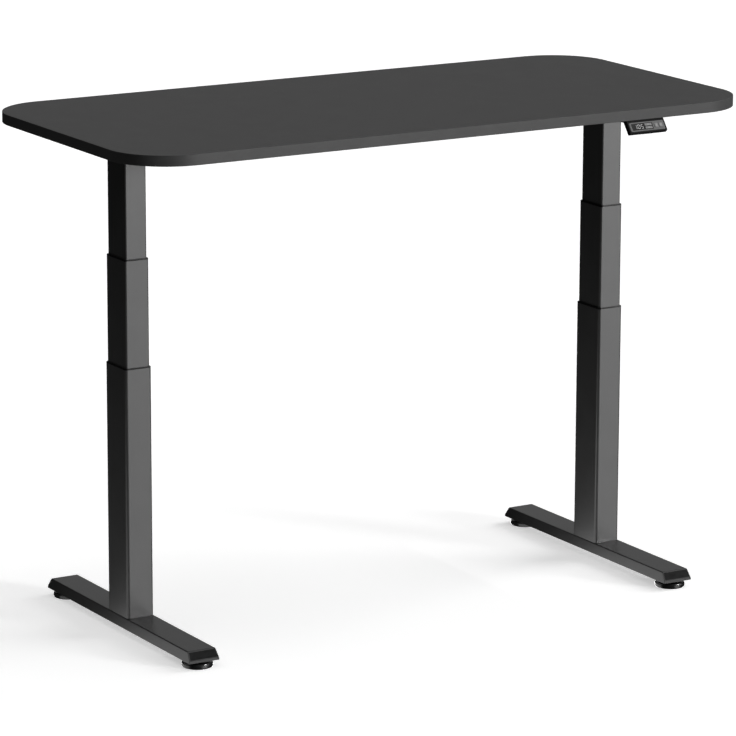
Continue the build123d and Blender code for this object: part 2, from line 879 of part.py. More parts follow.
def motor_route(side):
    """Route of a motor's cable, from its drive head back and across to the control box."""
    toward = inward[side]
    start = column_x[side] + toward * cable_exit
    box_end = -toward * control_box_size[0] / 2
    run = (box_end - start) * toward
    return [
        (start, head_depth / 2 - head_wall, cable_z),
        (start, 88, cable_z),
        (start + toward * 32, 122, cable_z),
        (start + toward * run * 0.3, 136, cable_z),
        (start + toward * run * 0.52, 128, cable_z),
        (start + toward * run * 0.74, 134, cable_z),
        (box_end - toward * 44, 130, cable_z),
        (box_end - toward * plug_size[0], 130, cable_z),
    ]


handset_route = [
    (handset_x, handset_boss_rear, cable_z),
    (handset_x, handset_boss_rear + 44, cable_z),
    (handset_x - 14, handset_boss_rear + 86, cable_z),
    (handset_x - 48, handset_boss_rear + 128, cable_z),
    (handset_x - 96, handset_boss_rear + 162, cable_z),
    (handset_x - 138, handset_boss_rear + 210, cable_z),
    (handset_x - 190, handset_boss_rear + 268, cable_z),
    (handset_x - 248, handset_boss_rear + 312, cable_z),
    (handset_x - 308, handset_boss_rear + 346, cable_z),
    (handset_x - 342, handset_boss_rear + 378, cable_z),
    (handset_x - 348, control_box_y - control_box_size[1] / 2 - plug_size[0], cable_z),
]


def motor_cables():
    """The two motors' cables, each ending in a plug at the control box."""
    with BuildPart() as cables:
        for side in sides:
            route = motor_route(side)
            radii = bend_radii(route)
            print("motor cable bends", side, [round(radius) for radius in radii])
            with BuildLine() as path:
                FilletPolyline(*route, radius=radii)
            with BuildSketch(Plane(origin=route[0], z_dir=path.line % 0)):
                Circle(cable_radius)
            sweep(path=path.line)
            with BuildSketch(Plane(origin=route[-1], z_dir=(inward[side], 0, 0))):
                RectangleRounded(plug_size[1], plug_size[1], plug_rounding)
            extrude(amount=plug_size[0])
    write(cables.part, "motor_cables")


def handset_cable():
    """Cable from the handset over the rails to the control box, with its plug."""
    radii = bend_radii(handset_route)
    print("handset cable bends", [round(radius) for radius in radii])
    with BuildPart() as cable:
        with BuildLine() as path:
            FilletPolyline(*handset_route, radius=radii)
        with BuildSketch(Plane(origin=handset_route[0], z_dir=path.line % 0)):
            Circle(cable_radius)
        sweep(path=path.line)
        with BuildSketch(Plane(origin=handset_route[-1], z_dir=(0, 1, 0))):
            RectangleRounded(plug_size[1], plug_size[1], plug_rounding)
        extrude(amount=plug_size[0])
    write(cable.part, "handset_cable")


def clip_spots():
    """Middle and direction, in degrees from +X, of each straight stretch that a clip holds."""
    held_runs = [(motor_route(side), run) for side in sides for run in (0, 3, 5)]
    held_runs += [(handset_route, run) for run in (0, 4, 7)]
    spots = []
    for route, run in held_runs:
        start, end = Vector(*route[run]), Vector(*route[run + 1])
        along = end - start
        spots.append(((start + end) * 0.5, math.degrees(math.atan2(along.Y, along.X))))
    return spots


def cable_clips():
    """Saddle clips that hold the cables up to the desktop."""
    length, width = clip_size
    height = cable_drop + cable_radius + clip_thickness
    with BuildPart() as clips:
        for middle, turn in clip_spots():
            across = Plane(origin=middle, x_dir=(0, 0, 1), z_dir=Vector(1, 0, 0).rotate(Axis.Z, turn))
            with BuildSketch(across):
                with Locations((cable_drop - height / 2, 0)):
                    Rectangle(height, width)
                Circle(cable_radius + clip_gap, mode=Mode.SUBTRACT)
            extrude(amount=length / 2, both=True)
    write(clips.part, "cable_clips")


# ---- Handset ---------------------------------------------------------------------------------


def behind_face(point, depth):
    """The (y, z) point that lies that far behind a (y, z) point of the handset's face."""
    return (point[0] - face_normal[1] * depth, point[1] - face_normal[2] * depth)


def handset_housing():
    """Moulded handset: a sloped slab that holds the face, a flange that hangs it under the
    desktop, and a boss behind for the cable."""
    back_bottom = behind_face(handset_face_bottom, handset_thickness)
    rise = (underside - back_bottom[1]) / slope_direction[1]
    back_top = (back_bottom[0] + slope_direction[0] * rise, underside)
    flange_bottom = underside - handset_flange_thickness
    with BuildPart() as housing:
        with BuildSketch(Plane.YZ.offset(handset_x)):
            with BuildLine():
                Polyline(
                    handset_face_top,
                    handset_face_bottom,
                    back_bottom,
                    back_top,
                    (handset_front_top, underside),
                    close=True,
                )
            slab = make_face()
            fillet(slab.vertices().group_by(Axis.Z)[0], handset_chin_rounding)
            with BuildLine():
                Polyline(
                    (handset_front_top, underside),
                    (handset_front_top, flange_bottom),
                    (handset_flange_rear, flange_bottom),
                    (handset_flange_rear, underside),
                    close=True,
                )
            make_face()
        extrude(amount=handset_width / 2, both=True)
        for end in (0, -1):
            rim = housing.edges().group_by(Axis.X)[end].sort_by(Axis.Z)[:-1]
            fillet(rim, handset_rim_rounding)
        with BuildSketch(Plane.YZ.offset(handset_x)):
            with BuildLine():
                Polyline(
                    behind_face(handset_face_top, face_thickness + handset_wall),
                    behind_face(handset_face_bottom, handset_thickness - handset_wall),
                    (handset_boss_rear, handset_boss_bottom),
                    (handset_boss_rear, underside),
                    close=True,
                )
            make_face()
        extrude(amount=handset_boss_width / 2, both=True)
        with BuildSketch(face_plane):
            RectangleRounded(
                face_size[0] + 2 * face_fit_gap, face_size[1] + 2 * face_fit_gap, face_rounding
            )
        extrude(amount=-face_thickness, mode=Mode.SUBTRACT)
        with BuildSketch(face_plane.offset(-face_thickness)):
            RectangleRounded(
                face_size[0] - 2 * face_ledge, face_size[1] - 2 * face_ledge, face_ledge
            )
        extrude(
            amount=-(handset_thickness - handset_wall - face_thickness), mode=Mode.SUBTRACT
        )
    write(housing.part, "handset_housing")


def handset_face():
    """Face plate of the handset, recessed for the window and pierced for the keys."""
    with BuildPart() as face:
        with BuildSketch(face_plane):
            RectangleRounded(*face_size, face_rounding)
        extrude(amount=-face_thickness)
        with BuildSketch(face_plane):
            with Locations((window_offset, 0)):
                RectangleRounded(*window_size, window_rounding)
        extrude(amount=-window_thickness, mode=Mode.SUBTRACT)
        with BuildSketch(face_plane):
            for spot, (width, height) in keys.values():
                with Locations(spot):
                    RectangleRounded(
                        width + 2 * key_gap, height + 2 * key_gap, key_rounding + key_gap
                    )
        extrude(amount=-face_thickness, mode=Mode.SUBTRACT)
    write(face.part, "handset_face")


def handset_window():
    """Dark panel over the display, with openings for the up and down keys."""
    with BuildPart() as window:
        with BuildSketch(face_plane):
            with Locations((window_offset, 0)):
                RectangleRounded(*window_size, window_rounding)
            for name in ("up_key", "down_key"):
                spot, (width, height) = keys[name]
                with Locations(spot):
                    RectangleRounded(
                        width + 2 * key_gap,
                        height + 2 * key_gap,
                        key_rounding + key_gap,
                        mode=Mode.SUBTRACT,
                    )
        extrude(amount=-window_thickness)
    write(window.part, "handset_window")


def handset_key(name):
    """Key that slides into the handset, kept in by a flange behind the face plate."""
    spot, (width, height) = keys[name]
    with BuildPart() as key:
        with BuildSketch(face_plane.offset(-face_thickness - key_flange_gap)):
            with Locations(spot):
                RectangleRounded(width, height, key_rounding)
        extrude(amount=face_thickness + key_flange_gap + key_proud)
        fillet(key.faces().filter_by(face_plane).sort_by(Axis.Z)[-1].edges(), key_top_rounding)
        with BuildSketch(face_plane.offset(-face_thickness - key_flange_gap)):
            with Locations(spot):
                Rectangle(width + 2 * key_flange, height + 2 * key_flange)
        extrude(amount=-key_flange_thickness)
    write(key.part, name)


# ---- The desk --------------------------------------------------------------------------------

for side in sides:
    foot_beam(side)
    foot_caps(side)
    glide(side, -1, "glide_front")
    glide(side, 1, "glide_rear")
    outer_tube(side)
    column_screws(side)
    base_nut_tube(side)
    collar(side, outer_section, mid_section, outer_tube_top, f"outer_collar_{side}")
    mid_tube(side)
    collar(side, mid_section, inner_section, mid_tube_top, f"mid_collar_{side}")
    drive_carrier(side)
    lower_spindle(side)
    inner_tube(side)
    upper_spindle(side)
    worm_wheel(side)
    motor_worm(side)
    motor(side)
    gear_case(side)
    head_box(side)
    side_bracket(side)

spindle_bearings()
frame_rails()
frame_bolts()
desktop_core()
top_laminate()
edge_band()
desktop_screws()
control_box_shell()
control_box_lid()
mains_inlet()
motor_cables()
handset_cable()
cable_clips()
handset_housing()
handset_face()
handset_window()
for name in keys:
    handset_key(name)
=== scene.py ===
import json
import math

import bmesh
import bpy
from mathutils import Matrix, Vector


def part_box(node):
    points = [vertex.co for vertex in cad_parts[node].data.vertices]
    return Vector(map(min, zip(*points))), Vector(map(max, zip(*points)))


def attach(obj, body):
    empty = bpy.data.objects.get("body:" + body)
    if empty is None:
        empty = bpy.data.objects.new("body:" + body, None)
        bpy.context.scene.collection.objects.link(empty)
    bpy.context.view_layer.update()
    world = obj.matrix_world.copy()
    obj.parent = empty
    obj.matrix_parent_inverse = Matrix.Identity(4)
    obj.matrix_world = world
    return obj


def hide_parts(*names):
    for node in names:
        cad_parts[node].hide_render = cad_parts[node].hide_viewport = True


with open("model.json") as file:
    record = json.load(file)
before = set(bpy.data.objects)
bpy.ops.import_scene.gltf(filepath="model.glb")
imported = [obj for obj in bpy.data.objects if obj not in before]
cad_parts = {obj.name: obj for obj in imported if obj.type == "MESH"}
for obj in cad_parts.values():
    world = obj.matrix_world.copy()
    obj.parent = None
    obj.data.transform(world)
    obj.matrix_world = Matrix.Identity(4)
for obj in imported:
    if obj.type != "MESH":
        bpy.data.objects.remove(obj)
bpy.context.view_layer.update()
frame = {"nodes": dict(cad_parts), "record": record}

# A height adjustable standing desk. Metres, +X to the right, +Y to the back, +Z up.
# Places come from the frame's boxes; the sizes below are details that only show.

sides = ("left", "right")
mm = 0.001

tube_wall = 1.8 * mm
tube_rounding = {"outer": 6 * mm, "mid": 4.5 * mm, "inner": 4 * mm}
column_plate_thickness = 8 * mm
foot_wall = 3 * mm
foot_lip = 4.5 * mm
foot_slope_run = 12.5 * mm
foot_lean = 3 * mm
foot_bend = 2.5 * mm
cap_thickness = 3 * mm
cap_plug_length = 50 * mm
collar_lip = 3 * mm
desktop_rounding = 126 * mm
band_thickness = 2 * mm
keypad_rise = 21.8 * mm
keypad_run = 16.4 * mm
keypad_tilt = math.atan2(keypad_rise, keypad_run)
face_up = Vector((0, math.cos(keypad_tilt), math.sin(keypad_tilt)))
face_normal = Vector((0, -math.sin(keypad_tilt), math.cos(keypad_tilt)))
face_thickness = 3 * mm
key_proud = 0.8 * mm
display_inset = 7.4 * mm

sharp_angle = math.radians(32)
eased_angle = math.radians(25)

body_of_node = {
    node: body
    for body, nodes in frame["record"]["behaviour"]["bodies"].items()
    for node in nodes
}
slot_of_node = {node: shown.data.materials[0].name for node, shown in frame["nodes"].items()}


# ---- Camera, floor and light ---------------------------------------------------------------


def make_camera():
    """Long lens, a little above the desktop, from the front left."""
    data = bpy.data.cameras.new("camera")
    data.sensor_width = 36
    data.lens = 205.6
    data.clip_start = 0.1
    data.clip_end = 100
    camera = bpy.data.objects.new("camera", data)
    camera.location = (-4.3825, -7.3707, 2.5075)
    yaw, pitch, roll = math.radians(30.688), math.radians(13.27), math.radians(0.174)
    forward = Vector(
        (math.sin(yaw) * math.cos(pitch), math.cos(yaw) * math.cos(pitch), -math.sin(pitch))
    )
    camera.rotation_mode = "QUATERNION"
    camera.rotation_quaternion = forward.to_track_quat("-Z", "Y")
    camera.rotation_mode = "XYZ"
    camera.rotation_euler.rotate_axis("Z", roll)
    bpy.context.collection.objects.link(camera)
    bpy.context.scene.camera = camera


def add_sun(name, azimuth, elevation, strength, spread):
    """Distant light from azimuth (0 is the front, 90 the right) and elevation, in degrees."""
    data = bpy.data.lights.new(name, "SUN")
    data.energy = strength
    data.angle = math.radians(spread)
    sun = bpy.data.objects.new(name, data)
    a, e = math.radians(azimuth), math.radians(elevation)
    toward = Vector((math.sin(a) * math.cos(e), -math.cos(a) * math.cos(e), math.sin(e)))
    sun.rotation_mode = "QUATERNION"
    sun.rotation_quaternion = toward.to_track_quat("Z", "Y")
    bpy.context.collection.objects.link(sun)


def add_panel(name, place, size, aim, power):
    """Soft rectangular light that the camera doesn't see, facing along aim."""
    data = bpy.data.lights.new(name, "AREA")
    data.shape = "RECTANGLE"
    data.size, data.size_y = size
    data.energy = power
    panel = bpy.data.objects.new(name, data)
    panel.location = place
    panel.rotation_mode = "QUATERNION"
    panel.rotation_quaternion = Vector(aim).to_track_quat("-Z", "Y")
    panel.visible_camera = False
    bpy.context.collection.objects.link(panel)


def make_world():
    """Soft light from above that fades to almost nothing at the horizon."""
    world = bpy.data.worlds.new("studio")
    world.use_nodes = True
    tree = world.node_tree
    place = add_node(tree, "ShaderNodeTexCoord", {})
    height = add_node(tree, "ShaderNodeSeparateXYZ", {"Vector": place.outputs["Generated"]})
    fade = add_node(
        tree,
        "ShaderNodeMapRange",
        {
            "Value": height.outputs["Z"],
            "From Min": 0.45,
            "From Max": 0.9,
            "To Min": 0.02,
            "To Max": 0.68,
        },
        interpolation_type="SMOOTHSTEP",
    )
    background = tree.nodes["Background"]
    background.inputs["Color"].default_value = (1, 1, 1, 1)
    tree.links.new(fade.outputs["Result"], background.inputs["Strength"])
    bpy.context.scene.world = world


def make_studio():
    """White floor that glows a little, so that shadows stay pale, in a white dome.

    Only the camera sees them: they neither light the desk nor show in its surfaces.
    """
    dome_radius = 40
    floor_radius = 38
    mesh = bmesh.new()
    bmesh.ops.create_circle(mesh, cap_ends=True, radius=floor_radius, segments=96)
    floor = add_object(mesh, "floor", backdrop_look("floor", 0.86, 0.48))
    mesh = bmesh.new()
    bmesh.ops.create_uvsphere(mesh, u_segments=48, v_segments=24, radius=dome_radius)
    dome = add_object(mesh, "dome", backdrop_look("dome", 0, 1.05))
    for backdrop in (floor, dome):
        backdrop.visible_shadow = False
        backdrop.visible_diffuse = False
        backdrop.visible_glossy = False
        backdrop.visible_transmission = False


# ---- Looks ---------------------------------------------------------------------------------


def new_look(name, roughness, specular=0.5, metallic=0):
    """A new material, with its node tree and its shader."""
    material = bpy.data.materials.new(name)
    material.use_nodes = True
    tree = material.node_tree
    shader = tree.nodes["Principled BSDF"]
    shader.inputs["Roughness"].default_value = roughness
    shader.inputs["Specular IOR Level"].default_value = specular
    shader.inputs["Metallic"].default_value = metallic
    return material, tree, shader


def add_node(tree, kind, inputs, **settings):
    """Adds a node, with each input set to a value or linked to a socket."""
    node = tree.nodes.new(kind)
    for name, value in settings.items():
        setattr(node, name, value)
    for name, value in inputs.items():
        if isinstance(value, bpy.types.NodeSocket):
            tree.links.new(value, node.inputs[name])
        else:
            node.inputs[name].default_value = value
    return node


def noise(tree, size, detail=2, stretch=(1, 1, 1)):
    """Noise with features of about that size in metres, drawn out along an axis by stretch."""
    place = add_node(tree, "ShaderNodeTexCoord", {})
    scale = [1 / (size * factor) for factor in stretch]
    fitted = add_node(
        tree, "ShaderNodeMapping", {"Vector": place.outputs["Object"], "Scale": scale}
    )
    texture = add_node(
        tree,
        "ShaderNodeTexNoise",
        {"Vector": fitted.outputs["Vector"], "Scale": 1, "Detail": detail},
    )
    return texture.outputs["Fac"]


def cells(tree, size):
    """Distance from the middles of irregular cells of about that size in metres."""
    place = add_node(tree, "ShaderNodeTexCoord", {})
    texture = add_node(
        tree,
        "ShaderNodeTexVoronoi",
        {"Vector": place.outputs["Object"], "Scale": 1 / size},
    )
    return texture.outputs["Distance"]


def ranged(tree, factor, low, high):
    """A factor's middle range spread over low to high."""
    spread = add_node(
        tree,
        "ShaderNodeMapRange",
        {"Value": factor, "From Min": 0.3, "From Max": 0.7, "To Min": low, "To Max": high},
    )
    return spread.outputs["Result"]


def shaded(tree, shader, factor, dark, light):
    """Gives the surface a colour that wanders between two."""
    position = ranged(tree, factor, 0, 1)
    mix = add_node(tree, "ShaderNodeMix", {"Factor": position}, data_type="RGBA")
    mix.inputs["A"].default_value = (*dark, 1)
    mix.inputs["B"].default_value = (*light, 1)
    tree.links.new(mix.outputs["Result"], shader.inputs["Base Color"])


def roughened(tree, shader, factor, low, high):
    """Lets the roughness wander between two values."""
    tree.links.new(ranged(tree, factor, low, high), shader.inputs["Roughness"])


def embossed(tree, shader, *layers):
    """Relief from layers of (height, depth in metres)."""
    normal = None
    for height, depth in layers:
        inputs = {"Height": height, "Distance": depth, "Strength": 1}
        if normal:
            inputs["Normal"] = normal
        normal = add_node(tree, "ShaderNodeBump", inputs).outputs["Normal"]
    tree.links.new(normal, shader.inputs["Normal"])


def grey(value):
    """A colour with the same value in all three channels."""
    return (value, value, value)


def backdrop_look(name, base, glow):
    """Matt surface that gives off white light of its own."""
    material, _, shader = new_look(name, roughness=1, specular=0)
    shader.inputs["Base Color"].default_value = (*grey(base), 1)
    shader.inputs["Emission Color"].default_value = (1, 1, 1, 1)
    shader.inputs["Emission Strength"].default_value = glow
    return material


def laminate_look(name, dark, light, pebble, roughness):
    """Pressed laminate: a pebbled grain under a faint, broad mottling."""
    material, tree, shader = new_look(name, roughness[0], specular=0.22)
    broad = noise(tree, 45 * mm, detail=4)
    fine = noise(tree, pebble, detail=3)
    shaded(tree, shader, broad, grey(dark), grey(light))
    roughened(tree, shader, fine, *roughness)
    embossed(tree, shader, (fine, 0.02 * mm), (cells(tree, 1.6 * pebble), 0.02 * mm))
    return material


def powder_look(name, dark, light):
    """Powder coat: orange peel over a fine sandy texture."""
    roughness = (0.32, 0.4)
    material, tree, shader = new_look(name, roughness[0])
    peel = noise(tree, 2.2 * mm, detail=2)
    sand = noise(tree, 0.35 * mm, detail=2)
    broad = noise(tree, 60 * mm, detail=3)
    shaded(tree, shader, broad, grey(dark), grey(light))
    roughened(tree, shader, sand, *roughness)
    embossed(tree, shader, (peel, 0.035 * mm), (sand, 0.014 * mm))
    return material


def moulded_look(name, dark, light, roughness, grain=0.45 * mm, depth=0.02 * mm, **finish):
    """Moulded plastic with the fine grain of an etched mould."""
    material, tree, shader = new_look(name, roughness[0], **finish)
    etched = cells(tree, grain)
    broad = noise(tree, 12 * mm, detail=3)
    shaded(tree, shader, broad, grey(dark), grey(light))
    roughened(tree, shader, broad, *roughness)
    embossed(tree, shader, (etched, depth))
    return material


def metal_look(name, dark, light, roughness, grain, stretch, depth, metallic=1.0):
    """Metal whose tool marks run along one axis."""
    material, tree, shader = new_look(name, roughness[0], metallic=metallic)
    marks = noise(tree, grain, detail=3, stretch=stretch)
    broad = noise(tree, 9 * mm, detail=3)
    shaded(tree, shader, broad, dark, light)
    roughened(tree, shader, marks, *roughness)
    embossed(tree, shader, (marks, depth))
    return material


def make_looks():
    """The desk's materials, by the record's material slot."""
    around = (6, 6, 0.3)
    even = (1, 1, 1)
    return {
        "laminate": laminate_look("laminate", 0.040, 0.045, 0.5 * mm, (0.5, 0.62)),
        "edge_band": laminate_look("edge_band", 0.038, 0.043, 0.35 * mm, (0.48, 0.58)),
        "core_board": laminate_look("core_board", 0.020, 0.026, 0.8 * mm, (0.6, 0.75)),
        "powder_coat": powder_look("powder_coat", 0.026, 0.031),
        "moulded_black": moulded_look("moulded_black", 0.018, 0.024, (0.42, 0.52), specular=0.3),
        "glide_black": moulded_look(
            "glide_black", 0.006, 0.010, (0.16, 0.26), grain=1.5 * mm, depth=0.004 * mm
        ),
        "black_fastener": metal_look(
            "black_fastener", grey(0.035), grey(0.06), (0.3, 0.45), 0.4 * mm, even, 0.006 * mm, 0.8
        ),
        "bright_steel": metal_look(
            "bright_steel", grey(0.5), grey(0.62), (0.18, 0.34), 0.5 * mm, around, 0.006 * mm
        ),
        "bronze": metal_look(
            "bronze", (0.42, 0.25, 0.1), (0.55, 0.36, 0.16), (0.3, 0.45), 0.5 * mm, even, 0.01 * mm
        ),
        "motor_can": metal_look(
            "motor_can", grey(0.22), grey(0.3), (0.3, 0.42), 0.6 * mm, (8, 1, 1), 0.008 * mm, 0.9
        ),
        "cast_alloy": metal_look(
            "cast_alloy", grey(0.4), grey(0.5), (0.42, 0.6), 0.9 * mm, even, 0.05 * mm, 0.9
        ),
        "cable_jacket": moulded_look(
            "cable_jacket", 0.012, 0.018, (0.34, 0.46), grain=0.8 * mm, depth=0.01 * mm
        ),
        "handset_grey": moulded_look(
            "handset_grey", 0.065, 0.075, (0.4, 0.5), grain=0.3 * mm, depth=0.012 * mm
        ),
        "handset_window": moulded_look(
            "handset_window", 0.010, 0.013, (0.08, 0.13), grain=4 * mm, depth=0.003 * mm
        ),
        "handset_keys": moulded_look(
            "handset_keys", 0.13, 0.15, (0.36, 0.46), grain=0.25 * mm, depth=0.01 * mm
        ),
    }


# ---- Shapes --------------------------------------------------------------------------------


def add_object(mesh, name, *materials):
    """Turns a bmesh into an object, smooth except at its sharp edges."""
    bmesh.ops.recalc_face_normals(mesh, faces=mesh.faces)
    data = bpy.data.meshes.new(name)
    mesh.to_mesh(data)
    mesh.free()
    for material in materials:
        data.materials.append(material)
    data.shade_smooth()
    data.set_sharp_from_angle(angle=sharp_angle)
    made = bpy.data.objects.new(name, data)
    bpy.context.collection.objects.link(made)
    return made


def add_piece(mesh, name, node, *extra_materials, edge=0):
    """Turns a bmesh into the piece that stands for a CAD node, its edges eased by that width."""
    slot = slot_of_node[node]
    piece = add_object(mesh, name, looks[slot], *extra_materials)
    if edge:
        easing = piece.modifiers.new("easing", "BEVEL")
        easing.width = edge
        easing.segments = 2
        easing.limit_method = "ANGLE"
        easing.angle_limit = eased_angle
    shading = piece.modifiers.new("shading", "WEIGHTED_NORMAL")
    shading.keep_sharp = True
    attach(piece, body_of_node[node])
    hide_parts(node)
    return piece


def eased(corners, roundings, steps=5, closed=True):
    """Outline through corners, each rounded by about its own radius; 0 keeps it sharp."""
    points = []
    count = len(corners)
    for i, (corner, rounding) in enumerate(zip(corners, roundings)):
        corner = Vector(corner)
        is_end = not closed and i in (0, count - 1)
        if is_end or rounding == 0:
            points.append(tuple(corner))
            continue
        before = Vector(corners[i - 1]) - corner
        after = Vector(corners[(i + 1) % count]) - corner
        reach = rounding / math.tan(before.angle(after) / 2)
        # Under half an edge, so that two roundings on it can't meet.
        reach = min(reach, 0.49 * before.length, 0.49 * after.length)
        for step in range(steps + 1):
            t = step / steps
            point = corner + before.normalized() * reach * (1 - t) ** 2
            points.append(tuple(point + after.normalized() * reach * t**2))
    return points


def rounded_rectangle(width, depth, radius, steps=10):
    """Points of a rounded rectangle about the origin, anticlockwise from the front right."""
    smallest_radius = 0.05 * mm
    radius = max(radius, smallest_radius)
    points = []
    for quarter, (right, back) in enumerate(((1, -1), (1, 1), (-1, 1), (-1, -1))):
        for step in range(steps + 1):
            angle = math.radians(90 * (quarter - 1 + step / steps))
            x = right * (width / 2 - radius) + radius * math.cos(angle)
            y = back * (depth / 2 - radius) + radius * math.sin(angle)
            points.append((x, y))
    return points


def skin(mesh, rings, capped=True, joined=False):
    """Faces between rings of points; the end rings are filled, or joined to each other."""
    loops = [[mesh.verts.new(point) for point in ring] for ring in rings]
    pairs = list(zip(loops, loops[1:]))
    if joined:
        pairs.append((loops[-1], loops[0]))
    for lower, upper in pairs:
        for i in range(len(lower)):
            j = (i + 1) % len(lower)
            mesh.faces.new((lower[i], lower[j], upper[j], upper[i]))
    if capped:
        mesh.faces.new(loops[0])
        mesh.faces.new(loops[-1])
    return loops


def level_rings(centre, size, radius, profile, steps=10):
    """Rounded rectangles, one for each (inset, height) of a profile."""
    rings = []
    for inset, z in profile:
        outline = rounded_rectangle(
            size[0] - 2 * inset, size[1] - 2 * inset, radius - inset, steps
        )
        rings.append([(centre[0] + x, centre[1] + y, z) for x, y in outline])
    return rings


def turned_rings(centre, profile, steps=64):
    """Circles about an upright axis, one for each (radius, height) of a profile."""
    angles = [2 * math.pi * step / steps for step in range(steps)]
    rings = []
    for radius, z in profile:
        circle = [(radius * math.cos(angle), radius * math.sin(angle)) for angle in angles]
        rings.append([(centre[0] + x, centre[1] + y, z) for x, y in circle])
    return rings


def middle_and_size(node):
    """Middle and size of a node's box, and its lowest and highest z."""
    low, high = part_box(node)
    return (low + high) / 2, high - low, low.z, high.z


# ---- Desktop -------------------------------------------------------------------------------


def desktop():
    """Edge band with eased rims, and the laminate sheet let into it."""
    middle, size, bottom, top = middle_and_size("edge_band")
    rim, seam = 1.2 * mm, 0.15 * mm
    profile = eased(
        [(0, bottom), (0, top), (band_thickness, top), (band_thickness, bottom)],
        [rim, rim, seam, seam],
    )
    mesh = bmesh.new()
    rings = level_rings(middle, size, desktop_rounding, profile, steps=40)
    skin(mesh, rings, capped=False, joined=True)
    add_piece(mesh, "desk_edge", "edge_band")

    middle, size, bottom, top = middle_and_size("top_laminate")
    joint = 0.03 * mm
    profile = eased([(joint, bottom), (joint, top), (seam, top)], [0, seam, 0], closed=False)
    mesh = bmesh.new()
    radius = desktop_rounding - band_thickness
    skin(mesh, level_rings(middle, size, radius, profile, steps=40))
    add_piece(mesh, "desk_laminate", "top_laminate")


# ---- Columns -------------------------------------------------------------------------------


def tube(name, stage, side, plate_thickness=0):
    """One tube of a column, open at the top, with a plate in its foot if it has one."""
    node = f"{name}_{side}"
    middle, size, bottom, top = middle_and_size(node)
    rim, plate_gap = 0.4 * mm, 0.05 * mm
    profile = eased([(0, bottom), (0, top), (tube_wall, top), (tube_wall, bottom)], [rim] * 4)
    mesh = bmesh.new()
    skin(mesh, level_rings(middle, size, tube_rounding[stage], profile), joined=True, capped=False)
    if plate_thickness:
        inset = tube_wall + plate_gap
        plate = [(inset, bottom + rim), (inset, bottom + plate_thickness)]
        skin(mesh, level_rings(middle, size, tube_rounding[stage], plate))
    add_piece(mesh, f"column_{node}", node)


def collar(name, stage, next_stage, side):
    """Slide collar: a lip on a tube's rim, with a skirt that reaches down inside it."""
    node = f"{name}_{side}"
    middle, size, bottom, top = middle_and_size(node)
    next_size = middle_and_size(f"{next_stage}_tube_{side}")[1]
    slide_gap, skirt_gap = 0.15 * mm, 0.1 * mm
    opening = (size.x - next_size.x) / 2 - slide_gap
    skirt = tube_wall + skirt_gap
    lip_bottom = top - collar_lip
    profile = eased(
        [
            (0, lip_bottom),
            (0, top),
            (opening, top),
            (opening, bottom),
            (skirt, bottom),
            (skirt, lip_bottom),
        ],
        [0.3 * mm, 0.8 * mm, 0.3 * mm, 0.2 * mm, 0.2 * mm, 0],
    )
    mesh = bmesh.new()
    skin(mesh, level_rings(middle, size, tube_rounding[stage], profile), joined=True, capped=False)
    # The collar takes the darkened black, partly its own black plastic and partly painted shade
    # for the dark line at each step of the column.
    add_piece(mesh, f"column_{node}", node).data.materials[0] = black_plastic_painted_shade_look


# ---- Feet ----------------------------------------------------------------------------------


def foot_half_width(side, z):
    """Half the width of the foot's outside at height z; the sides lean in towards the top."""
    low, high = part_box(f"foot_beam_{side}")
    share = (z - low.z) / (high.z - low.z)
    return (high.x - low.x) / 2 - foot_lean * share


def foot_section(side, bottom, top, inset, roundings):
    """Section of a foot as (x, z) points, from the bottom left round to the bottom right."""
    kink = bottom + foot_lip
    heights = [bottom, kink, top - inset, top - inset, kink, bottom]
    widths = [foot_half_width(side, z) - inset for z in heights]
    corners = [(s * w, z) for s, w, z in zip((-1, -1, -1, 1, 1, 1), widths, heights)]
    return eased(corners, roundings)


def foot_end(side, end, z, set_back):
    """Place along Y of the foot's sloped end at height z, moved in by set_back."""
    cap_low, cap_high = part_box(f"foot_caps_{side}")
    kink = cap_low.z + foot_lip
    share = max(0, (z - kink) / (cap_high.z - kink))
    return end * (cap_high.y - set_back - foot_slope_run * share)


def foot_beam(side):
    """Folded steel channel, open below, cut off by a slope at both ends."""
    node = f"foot_beam_{side}"
    middle, _, bottom, top = middle_and_size(node)
    rim, inner_bend = 0.5 * mm, 0.8 * mm
    section = []
    for inset, bend, way in ((0, foot_bend, 1), (foot_wall, inner_bend, -1)):
        roundings = [rim, 0, bend, bend, 0, rim]
        section += foot_section(side, bottom, top, inset, roundings)[::way]
    mesh = bmesh.new()
    ends = [
        [(middle.x + x, foot_end(side, end, z, cap_thickness), z) for x, z in section]
        for end in (-1, 1)
    ]
    for loop in skin(mesh, ends, capped=False):
        for i in range(len(loop) // 2 - 1):
            mesh.faces.new((loop[i], loop[i + 1], loop[-2 - i], loop[-1 - i]))
    # The darker copy of the powder coat is painted shade on the foot.
    add_piece(mesh, node, node).data.materials[0] = foot_painted_shade_look


